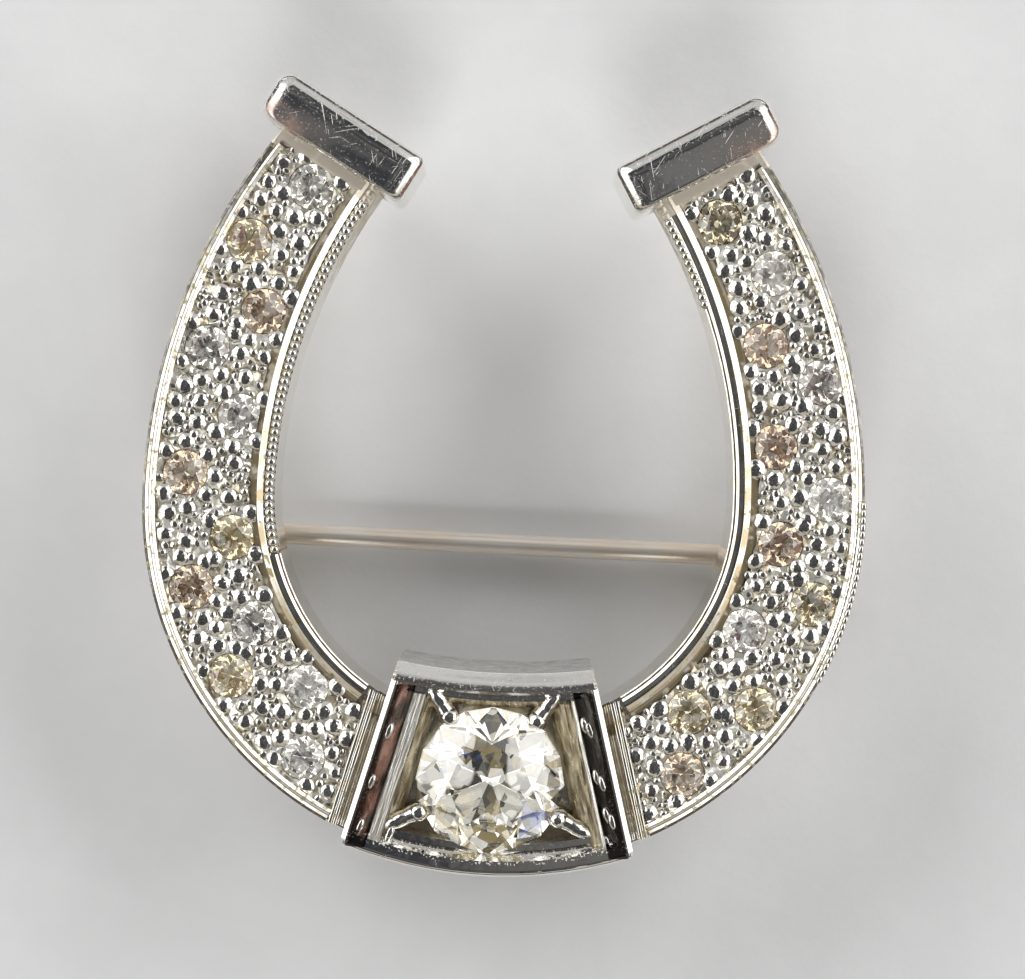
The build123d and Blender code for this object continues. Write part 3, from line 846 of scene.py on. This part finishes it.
def cap_plate(side):
    """A cushion of polished metal on a heel cap: broad soft ends, narrower soft edges above and below."""
    steepest = math.sin(math.radians(CAP_STEEPNESS))
    rings = [(0.0, CAP_SKIRT)]
    for step in range(CAP_STEPS + 1):
        tilt = math.radians(CAP_STEEPNESS * (1 - step / CAP_STEPS))
        rings.append((1 - math.sin(tilt) / steepest, CAP_TOP - CAP_BEND * (1 - math.cos(tilt))))
    rows = []
    for (share, height), upper_inset in zip(rings, CAP_UPPER_INSETS):
        ends = CAP_LENGTH / 2 + CAP_OVERLAP - CAP_END_ROLL * share
        upper = CAP_WIDTH / 2 + CAP_OVERLAP - upper_inset
        lower = -CAP_WIDTH / 2 - CAP_OVERLAP + CAP_LOWER_ROLL * share
        row = []
        corners = (
            (ends, upper, CAP_OUTER_ROUND, 0), (-ends, upper, CAP_INNER_ROUND, 90),
            (-ends, lower, CAP_INNER_ROUND, 180), (ends, lower, CAP_OUTER_ROUND, 270),
        )
        for corner_x, corner_y, full, start in corners:
            bend_here = full * (1 - 0.5 * share)
            middle_x = corner_x - math.copysign(bend_here, corner_x)
            middle_y = corner_y - math.copysign(bend_here, corner_y)
            for degrees in range(start, start + 91, 15):
                turn = math.radians(degrees)
                u = middle_x + bend_here * math.cos(turn)
                v = middle_y + bend_here * math.sin(turn)
                x = CAP_X + u * math.cos(CAP_TILT) - v * math.sin(CAP_TILT)
                y = CAP_Y + u * math.sin(CAP_TILT) + v * math.cos(CAP_TILT)
                row.append(placed(side * x, y, height))
        rows.append(row + row[:1])
    points, faces = ribbon(rows)
    last = len(points) - len(rows[-1])
    faces.append(tuple(range(last, len(points) - 1)))
    return points, faces


def facing_up(points, faces):
    """A sheet's faces, all turned over if it looks down."""
    area = sum(
        points[a][0] * points[b][1] - points[b][0] * points[a][1]
        for face in faces
        for a, b in zip(face, face[1:] + face[:1])
    )
    return faces if area > 0 else [face[::-1] for face in faces]


def joined_piece(name, parts, material, smooth_below=None):
    """One object of several sheets, each a list of points and one of faces, that all face up and out."""
    points, faces = [], []
    for more_points, more_faces in parts:
        faces += [tuple(len(points) + k for k in face) for face in facing_up(more_points, more_faces)]
        points += more_points
    piece = finish_mesh(name, points, faces, smooth_below)
    piece.data.materials.append(material)
    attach(piece, "shoe")


def arm_coordinates(x, y):
    """A point's angle along the arm in degrees, and its distances from the inner and the outer edge."""
    side = abs(x)

    def reach(edge):
        half_width, arm_radius, widest_y = edge
        up = y - widest_y
        radius = arm_radius if up > 0 else half_width
        return math.hypot(side - half_width + radius, up) - radius

    up = y - MIDDLE_WIDEST_Y
    radius = MIDDLE_ARM_RADIUS if up > 0 else MIDDLE_HALF_WIDTH
    angle = math.degrees(math.atan2(up, side - MIDDLE_HALF_WIDTH + radius))
    return angle, reach(INNER_EDGE), -reach(OUTER_EDGE)


def in_field(x, y, margin):
    """Whether a point lies in the sunk field, at least a margin inside its border."""
    _, from_inner, from_outer = arm_coordinates(x, y)
    over_cap = (y - CAP_Y) * math.cos(CAP_TILT) - (abs(x) - CAP_X) * math.sin(CAP_TILT)
    below_cap = -over_cap - CAP_WIDTH / 2 - CAP_LEDGE
    beside = abs(x) - plaque_half(y) - RIDGE_GROOVE - RIDGE_WIDTH
    return (
        from_inner > INNER_STRIP + max(margin, -0.03)
        and from_outer > OUTER_STRIP + margin
        and below_cap > margin
        and beside > margin
    )


def clear(point, others, distance):
    """Whether a point is farther than a distance from all the others."""
    return all(math.dist(point, other) > distance for other in others)


def arm_stones(side):
    """The centres of one arm's small stones in the outline's frame, in millimetres."""
    centres = [(node_centre(name).x, node_centre(name).y - OUTLINE_Y) for name in STONE_NAMES]
    return [centre for centre in centres if centre[0] * side > 0]


def setting_beads(stones):
    """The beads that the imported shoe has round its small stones; a grain dresses each of them."""
    beads = []
    for x, y in stones:
        side = math.copysign(1, x)
        turn = side * arm_coordinates(x, y)[0]
        for corner in (45, 135, 225, 315):
            heading = math.radians(turn + corner)
            bead = (x + BEAD_REACH * math.cos(heading), y + BEAD_REACH * math.sin(heading))
            if clear(bead, stones, SMALL_RADIUS + 0.03):
                beads.append(bead)
    return beads


def arm_box(side):
    """The corner of an arm's box and its width and height, to throw points into."""
    left = ARM_BOX_START if side > 0 else -OUTER_HALF_WIDTH
    return left, -OUTER_HALF_WIDTH - ARM_BOX_MARGIN, OUTER_HALF_WIDTH - ARM_BOX_START, 2 * OUTER_HALF_WIDTH


def throw(generator, side, count, kept, fits):
    """Throws points at random into an arm's box, and keeps each that fits."""
    left, low, width, height = arm_box(side)
    for _ in range(count):
        point = (left + generator.random() * width, low + generator.random() * height)
        if fits(point):
            kept.append(point)


def chip_places(grains, side):
    """Small raised chips in the gaps between one arm's grains."""
    stones, kept = arm_stones(side), []
    throw(random.Random(CHIP_SEED + side), side, CHIP_THROWS, kept, lambda point: (
        in_field(*point, 0.05)
        and clear(point, stones, SMALL_RADIUS + 0.12)
        and clear(point, grains, CHIP_CLEARANCE)
        and clear(point, kept, CHIP_SPACING)
    ))
    return kept


def grain_places(sizes, side):
    """Grains on one arm: on the setting beads, then thrown where they clear the stones and each other."""
    generator = random.Random(GRAIN_SEED + side)
    stones, kept = arm_stones(side), []
    beads = setting_beads(stones)
    for spacing in GRAIN_SPACINGS:
        gap = sizes.grain_spacing * spacing
        throw(generator, side, GRAIN_THROWS, kept, lambda point: (
            in_field(*point, 0.20)
            and clear(point, stones, BEAD_REACH - 0.02)
            and clear(point, beads, gap)
            and clear(point, kept, gap)
        ))
    return beads + kept


def cut_floor(sizes, side):
    """One arm's cut ground: a sheet of small facets that lean every way."""
    generator = random.Random(CUT_SEED + side)
    stones = arm_stones(side)
    left, low, width, height = arm_box(side)
    pitch = sizes.cut_size
    places, heights = [], []
    for row in range(int(height / (pitch * CUT_ROWS))):
        for column in range(int(width / pitch)):
            x = left + (column + row % 2 / 2 + generator.uniform(-CUT_STRAY, CUT_STRAY)) * pitch
            y = low + (row * CUT_ROWS + generator.uniform(-CUT_STRAY, CUT_STRAY)) * pitch
            if in_field(x, y, -0.25) and clear((x, y), stones, SMALL_RADIUS + 0.1):
                places.append(Vector((x, y)))
                heights.append(generator.uniform(*CUT_HEIGHTS))
    for x, y in stones:
        for k in range(SEAT_CORNERS):
            turn = math.tau * k / SEAT_CORNERS
            reach = SMALL_RADIUS + 0.03
            places.append(Vector((x + reach * math.cos(turn), y + reach * math.sin(turn))))
            heights.append(SEAT_Z)
    corners, _, faces, *_ = delaunay_2d_cdt(places, [], [], 0, 1e-6)
    kept = []
    for face in faces:
        middle = sum((corners[k] for k in face), Vector((0, 0))) / 3
        longest = max((corners[face[k]] - corners[face[k - 1]]).length for k in range(3))
        off_stones = all((middle - Vector(stone)).length > SMALL_RADIUS for stone in stones)
        if off_stones and longest < LONGEST_CUT * pitch and in_field(*middle, -0.2):
            kept.append(tuple(face))
    points = [placed(corner.x, corner.y, z) for corner, z in zip(corners, heights)]
    return points, kept


def reed_strips(side):
    """Fine half-round reeds that run beside the plaque, from the shoe's inner edge to its outer edge."""
    generator = random.Random(REED_SEED + side)
    strips = []
    for offset, z in REEDS:
        ends = []
        for step in range(REED_PLACES):
            y = REED_TOP_Y - step * REED_STEP
            x = plaque_half(y) + offset * PLAQUE_SECANT
            _, from_inner, from_outer = arm_coordinates(x, y)
            if from_inner > 0.05 and from_outer > 0.05:
                ends.append((x, y))
        (x0, y0), (x1, y1) = ends[0], ends[-1]
        rows = []
        for step in range(REED_LENGTHS + 1):
            share = step / REED_LENGTHS
            x, y = x0 + (x1 - x0) * share, y0 + (y1 - y0) * share
            radius = REED_RADIUS * generator.uniform(0.75, 1.15)
            row = []
            for k in range(REED_SIDES + 1):
                turn = math.pi * k / REED_SIDES
                across = radius * math.cos(turn) / PLAQUE_SECANT
                height = z + 0.8 * radius * math.sin(turn)
                row.append(placed(side * (x + across), y + across * PLAQUE_SLOPE, height))
            rows.append(row)
        strips.append(ribbon(rows))
    return strips


class BroochSizes(bpy.types.PropertyGroup):
    """Sizes and colours that a user may change."""

    milgrain_radius: bpy.props.FloatProperty(
        name="Milgrain radius", description="Radius of one milgrain bead in millimetres", default=0.185
    )
    cut_size: bpy.props.FloatProperty(
        name="Cut size", description="Distance between the cut ground's corners in millimetres", default=0.19
    )
    milgrain_pitch: bpy.props.FloatProperty(
        name="Milgrain pitch", description="Distance between milgrain beads in millimetres", default=0.24
    )
    grain_radius: bpy.props.FloatProperty(
        name="Grain radius", description="Radius of one raised grain in millimetres", default=0.32
    )
    grain_spacing: bpy.props.FloatProperty(
        name="Grain spacing", description="Usual distance between grains in millimetres", default=0.66
    )
    chip_radius: bpy.props.FloatProperty(
        name="Chip radius", description="Radius of one chip between the grains in millimetres", default=0.15
    )
    gold_colour: bpy.props.FloatVectorProperty(
        name="White gold", description="Colour of the polished metal", subtype="COLOR",
        default=(0.88, 0.87, 0.85),
    )
    film_colour: bpy.props.FloatVectorProperty(
        name="Film", description="Colour of the dull metal in the recesses", subtype="COLOR",
        default=(0.50, 0.43, 0.31),
    )
    pin_colour: bpy.props.FloatVectorProperty(
        name="Pin gold", description="Colour of the pin's wire", subtype="COLOR", default=(0.88, 0.78, 0.67)
    )
    floor_colour: bpy.props.FloatVectorProperty(
        name="Floor", description="Colour of the pale floor", subtype="COLOR", default=(0.78, 0.78, 0.78)
    )
    floor_light: bpy.props.FloatProperty(
        name="Floor light", description="Power of the floor's lights, as a share of the usual", default=1.0
    )


class BROOCH_OT_metal(bpy.types.Operator):
    """Finish the shoe and the rivet in polished white gold, and the pin in rose-tinted gold"""

    bl_idname = "brooch.metal"
    bl_label = "Finish the metal"

    def execute(self, context):
        sizes = context.scene.brooch_sizes
        gold = white_gold_finish(sizes)
        give("horseshoe", gold)
        give("hinge_rivet", gold)
        give("pin_stem", pin_gold_finish(sizes))
        return {"FINISHED"}


class BROOCH_OT_stones(bpy.types.Operator):
    """Give the cut stones their diamond finish, white, champagne or brownish"""

    bl_idname = "brooch.stones"
    bl_label = "Finish the stones"

    def execute(self, context):
        # In each stone, the second colour is its painted body glow and the number the share of its cells
        # painted white
        white = diamond_finish("white_diamond", (0.985, 0.97, 0.92), (0.26, 0.23, 0.15), 0.34)
        champagne = diamond_finish("champagne_diamond", (0.95, 0.85, 0.58), (0.50, 0.35, 0.12), 0.22)
        brown = diamond_finish("brown_diamond", (0.88, 0.70, 0.51), (0.34, 0.19, 0.09), 0.24)
        give("stone_centre", centre_finish())
        for name in STONE_NAMES:
            give(name, champagne if name in CHAMPAGNE_STONES else brown if name in BROWN_STONES else white)
        return {"FINISHED"}


class BROOCH_OT_rims(bpy.types.Operator):
    """Lay the ridged strips along the rims and the reeds beside the plaque"""

    bl_idname = "brooch.rims"
    bl_label = "Ridge the rims"

    def execute(self, context):
        gold = bpy.data.materials["polished_gold"]
        strips, reeds = [], []
        for side in (-1, 1):
            strips.append(swept_strip(OUTER_EDGE, side, *OUTER_ENDS, OUTER_PROFILE))
            reeds += reed_strips(side)
        strips.append(swept_strip(INNER_EDGE, -1, INNER_ENDS[0], MILGRAIN_END, INNER_PROFILE))
        strips.append(swept_strip(INNER_EDGE, -1, MILGRAIN_END, INNER_ENDS[1], PLAIN_PROFILE))
        strips.append(swept_strip(INNER_EDGE, 1, *INNER_ENDS, PLAIN_PROFILE))
        joined_piece("rim_strips", strips, gold, 12.0)
        joined_piece("reeds", reeds, gold, 40.0)
        return {"FINISHED"}


class BROOCH_OT_plaque(bpy.types.Operator):
    """Shape the plaque's bevelled rims, its streaky frame, the stone's walls and the claws' bright ends"""

    bl_idname = "brooch.plaque"
    bl_label = "Dress the plaque"

    def execute(self, context):
        sizes = context.scene.brooch_sizes
        gold = bpy.data.materials["polished_gold"]
        rims = [plaque_side_strip(side, SIDE_RIM_PROFILE, *RIM_ENDS) for side in (-1, 1)]
        rims.append(plaque_top_strip(TOP_BAR_PROFILE, TOP_BAR_INSET))
        joined_piece("plaque_rims", rims, gold, 16.0)
        frames = [
            plaque_side_strip(-1, LEFT_FRAME_PROFILE, *FRAME_ENDS),
            plaque_side_strip(1, RIGHT_FRAME_PROFILE, *FRAME_ENDS),
        ]
        joined_piece("plaque_frame", frames, frame_gold_finish(), 16.0)
        walls = [
            plaque_side_strip(-1, LEFT_WALL_PROFILE, *WALL_ENDS),
            plaque_side_strip(1, RIGHT_WALL_PROFILE, *WALL_ENDS),
            plaque_top_strip(TOP_WALL_PROFILE, TOP_WALL_INSET),
        ]
        joined_piece("plaque_walls", walls, well_gold_finish(), 20.0)
        bead_gold = bead_gold_finish(sizes)
        lump = {"dome": 0.0, "tilt": 0.12, "unevenness": 0.04, "segments": 16, "rings": 12}
        for number, (reach, radius, length) in enumerate(CLAW_LUMPS, start=1):
            places = [
                (placed(reach * math.cos(turn), CENTRE_STONE_Y + reach * math.sin(turn), 0.15), turn)
                for turn in map(math.radians, CLAW_HEADINGS)
            ]
            name = f"claw_lumps_{number}"
            bead_piece(
                name, places, bead_gold, **lump, radius=radius * MM, width=length, flatness=0.95, seed=number
            )
        marks = [(placed(*mark), 0.35 * math.copysign(1, mark[0])) for mark in SLOPE_BEADS]
        bead_piece(
            "slope_beads", marks, bead_gold, **lump, radius=0.30 * MM, width=0.46, flatness=0.42, seed=7
        )
        return {"FINISHED"}


class BROOCH_OT_caps(bpy.types.Operator):
    """Lay the polished cushions on the heel caps"""

    bl_idname = "brooch.caps"
    bl_label = "Soften the caps"

    def execute(self, context):
        plates = [cap_plate(side) for side in (-1, 1)]
        joined_piece("cap_plates", plates, bpy.data.materials["polished_gold"], 40.0)
        return {"FINISHED"}


class BROOCH_OT_milgrain(bpy.types.Operator):
    """Run milgrain along the inner rim's upper left and the outer rim's right"""

    bl_idname = "brooch.milgrain"
    bl_label = "Run the milgrain"

    def execute(self, context):
        sizes = context.scene.brooch_sizes
        gold = bpy.data.materials["polished_gold"]
        for name, runs, width, flatness in (
            ("milgrain", WIDE_MILGRAIN, 1.0, 0.95),
            ("edge_milgrain", NARROW_MILGRAIN, 0.6, 0.6),
        ):
            places = [place for run in runs for place in rim_places(*run, sizes.milgrain_pitch)]
            bead_piece(
                name, places, gold, radius=sizes.milgrain_radius * MM, width=width, flatness=flatness,
                dome=0.0, tilt=0.05, unevenness=0.06, seed=3, segments=10, rings=8,
            )
        return {"FINISHED"}


class BROOCH_OT_grains(bpy.types.Operator):
    """Cut the ground between the small stones and raise the polished grains on it"""

    bl_idname = "brooch.grains"
    bl_label = "Raise the grains"

    def execute(self, context):
        sizes = context.scene.brooch_sizes
        bead_gold = bpy.data.materials["bead_gold"]
        cut_gold = cut_gold_finish()
        for side, label in ((-1, "left"), (1, "right")):
            joined_piece(f"cuts_{label}", [cut_floor(sizes, side)], cut_gold)
            generator = random.Random(TURN_SEED + side)
            grains = grain_places(sizes, side)
            chips = chip_places(grains, side)
            for name, spots, radius, top, tilt, segments, rings in (
                ("grains", grains, sizes.grain_radius, BEAD_TOP, 0.12, 20, 14),
                ("chips", chips, sizes.chip_radius, BEAD_TOP - 0.05, 0.5, 10, 6),
            ):
                places = [
                    (placed(x, y, top - GRAIN_FLATNESS * radius), generator.uniform(-0.4, 0.4))
                    for x, y in spots
                ]
                bead_piece(
                    f"{name}_{label}", places, bead_gold, radius=radius * MM, width=0.92, dome=1.0,
                    tilt=tilt, flatness=GRAIN_FLATNESS, unevenness=0.12, seed=5 + side, segments=segments,
                    rings=rings,
                )
        return {"FINISHED"}


# Camera and lights, in millimetres of the outline's frame
CAMERA_PLACE = (0.13, 2.64, 57.0)
CAMERA_TARGET = (0.27, 0.19, 0.0)
CAMERA_ROLL = math.radians(2.8)
PIXELS_PER_MM = 30.4
IMAGE_WIDTH = 1025
SENSOR_WIDTH = 36.0

# The floor and its lights, in metres, and the darkest of the floor's mottles as a share of its colour
FLOOR_HALF = 0.5
LIGHT_DISTANCE = 0.6
LIGHT_SIZE = 0.32
MOTTLE_SHADE = 0.94


def look_at(place, target, roll=0.0):
    """The matrix that stands a camera or a light at a place, facing a target."""
    away = (place - target).normalized()
    right = Vector((0, 1, 0)).cross(away).normalized()
    turn = Matrix((right, away.cross(right), away)).transposed() @ Matrix.Rotation(roll, 3, "Z")
    return Matrix.Translation(place) @ turn.to_4x4()


def make_camera():
    """The photograph's viewing angle, from just above the face."""
    data = bpy.data.cameras.new("camera")
    camera = bpy.data.objects.new("camera", data)
    bpy.context.scene.collection.objects.link(camera)
    place = placed(*CAMERA_PLACE)
    target = placed(*CAMERA_TARGET)
    camera.matrix_world = look_at(place, target, CAMERA_ROLL)
    distance = (place - target).length / MM
    data.sensor_width = SENSOR_WIDTH
    data.lens = SENSOR_WIDTH * PIXELS_PER_MM * distance / IMAGE_WIDTH
    data.clip_start = 0.001
    data.clip_end = 5.0
    bpy.context.scene.camera = camera


def floor_light(azimuth, elevation, power):
    """A square soft light over the floor, seen by no polished surface; its heading is from the brooch."""
    turn, rise = math.radians(azimuth), math.radians(elevation)
    heading = Vector((math.cos(rise) * math.cos(turn), math.cos(rise) * math.sin(turn), math.sin(rise)))
    data = bpy.data.lights.new("soft_light", "AREA")
    data.size = min(LIGHT_SIZE, 1.1 * math.sin(rise))
    data.energy = power
    light = bpy.data.objects.new("soft_light", data)
    bpy.context.scene.collection.objects.link(light)
    light.matrix_world = look_at(heading * LIGHT_DISTANCE, Vector((0, 0, 0)))
    light.visible_glossy = False
    light.visible_transmission = False


# Headings round the brooch, heights in degrees and powers in watts
FLOOR_LIGHTS = (
    (0, 7, 0.7), (15, 18, 1.6), (50, 18, 2.0), (125, 16, 2.0),
    (150, 18, 1.4), (180, 7, 0.6), (270, 38, 1.75), (95, 60, 0.35),
)


def make_world():
    """A room with long soft lights at the sides, dark overhead where the camera and its holder are.

    The dark stretch tapers towards the back, so that it shows as a drop in each polished grain.
    """
    world = bpy.data.worlds.new("room")
    bpy.context.scene.world = world
    world.use_nodes = True
    world.cycles_visibility.diffuse = False
    world.node_tree.nodes.clear()
    tree = Tree(world.node_tree)
    direction = tree.node("ShaderNodeTexCoord", output="Generated")
    x, y, z = tree.split(direction)
    narrow = y.above(0.0, 0.80) * -0.44 + 0.64
    across, along = x / narrow, (y + 0.05) / 0.76
    overhead = (across * across + along ** 4).math("SQRT").above(1.08, 0.92)
    cloud = tree.node("ShaderNodeTexNoise", None, {"Vector": direction, "Scale": 7.0, "Detail": 2.0})
    dark = tree.mix(cloud.above(0.40, 0.70), (0.040, 0.042, 0.048), (0.14, 0.137, 0.13))
    shade = x.between(0.02, 0.22, 0.06) * y.between(0.0, 0.26, 0.05, 0.06)
    dark = tree.mix(shade * z.above(0.0, 0.1), dark, (0.17, 0.165, 0.16))
    walls = tree.mix(y.above(-0.3, 0.3), (0.60, 0.56, 0.47), (0.62, 0.615, 0.60))
    walls = tree.mix(cloud.above(0.40, 0.65) * 0.45, walls, (0.25, 0.24, 0.22))
    panels = abs(x).above(0.25, 0.42) * y.above(-0.52, -0.25) * y.above(0.80, 0.60)
    bright = tree.mix(panels, walls, (1.9, 1.86, 1.78))
    red = x.above(0.6, 0.9) * z.between(0.08, 0.22, 0.04, 0.05)
    skirting = tree.mix(red, (0.11, 0.095, 0.08), (0.30, 0.15, 0.11))
    room = tree.mix(z.above(0.36, 0.26), bright, skirting)
    tone = tree.mix(overhead, room, dark)
    background = tree.node("ShaderNodeBackground", None, {"Color": tone, "Strength": 1.0})
    tree.node("ShaderNodeOutputWorld", None, {"Surface": background})


def make_floor(sizes):
    """A pale sheet under the brooch, slightly mottled."""
    corners = [(x * FLOOR_HALF, y * FLOOR_HALF, 0) for x, y in ((-1, -1), (1, -1), (1, 1), (-1, 1))]
    floor = finish_mesh("floor", corners, [(0, 1, 2, 3)])
    finish = Finish("floor_paper")
    mottle = finish.noise(0.16, 4.0, 0.6).above(0.3, 0.7)
    pale = tuple(sizes.floor_colour)
    tone = finish.mix(mottle, tuple(part * MOTTLE_SHADE for part in pale), pale)
    normal = finish.bump(finish.noise(1.4, 5.0, 0.6), 0.05, 0.3)
    floor.data.materials.append(finish.surface(Base_Color=tone, Roughness=0.9, Normal=normal))


class BROOCH_OT_stage(bpy.types.Operator):
    """Lay the pale floor and set the soft lights and the camera"""

    bl_idname = "brooch.stage"
    bl_label = "Set the stage"

    def execute(self, context):
        sizes = context.scene.brooch_sizes
        make_floor(sizes)
        make_world()
        for azimuth, elevation, power in FLOOR_LIGHTS:
            floor_light(azimuth, elevation, power * sizes.floor_light)
        make_camera()
        context.scene.view_settings.view_transform = "Standard"
        context.scene.view_settings.look = "None"
        return {"FINISHED"}


class BROOCH_PT_steps(bpy.types.Panel):
    """The brooch's finishing steps"""

    bl_label = "Horseshoe brooch"
    bl_idname = "BROOCH_PT_steps"
    bl_space_type = "VIEW_3D"
    bl_region_type = "UI"
    bl_category = "Brooch"

    def draw(self, context):
        for operator in OPERATORS:
            self.layout.operator(operator.bl_idname)
        for name in BroochSizes.__annotations__:
            self.layout.prop(context.scene.brooch_sizes, name)


OPERATORS = (
    BROOCH_OT_metal,
    BROOCH_OT_stones,
    BROOCH_OT_rims,
    BROOCH_OT_plaque,
    BROOCH_OT_caps,
    BROOCH_OT_milgrain,
    BROOCH_OT_grains,
    BROOCH_OT_stage,
)
CLASSES = (BroochSizes, *OPERATORS, BROOCH_PT_steps)


def register():
    """Makes the sizes, the operators and the panel known."""
    for one in CLASSES:
        bpy.utils.register_class(one)
    bpy.types.Scene.brooch_sizes = bpy.props.PointerProperty(type=BroochSizes)


def unregister():
    """Takes them away again."""
    del bpy.types.Scene.brooch_sizes
    for one in reversed(CLASSES):
        bpy.utils.unregister_class(one)


def main():
    """Dresses the whole brooch."""
    register()
    bpy.ops.brooch.metal()
    bpy.ops.brooch.stones()
    bpy.ops.brooch.rims()
    bpy.ops.brooch.plaque()
    bpy.ops.brooch.caps()
    bpy.ops.brooch.milgrain()
    bpy.ops.brooch.grains()
    bpy.ops.brooch.stage()


if __name__ == "__main__":
    main()
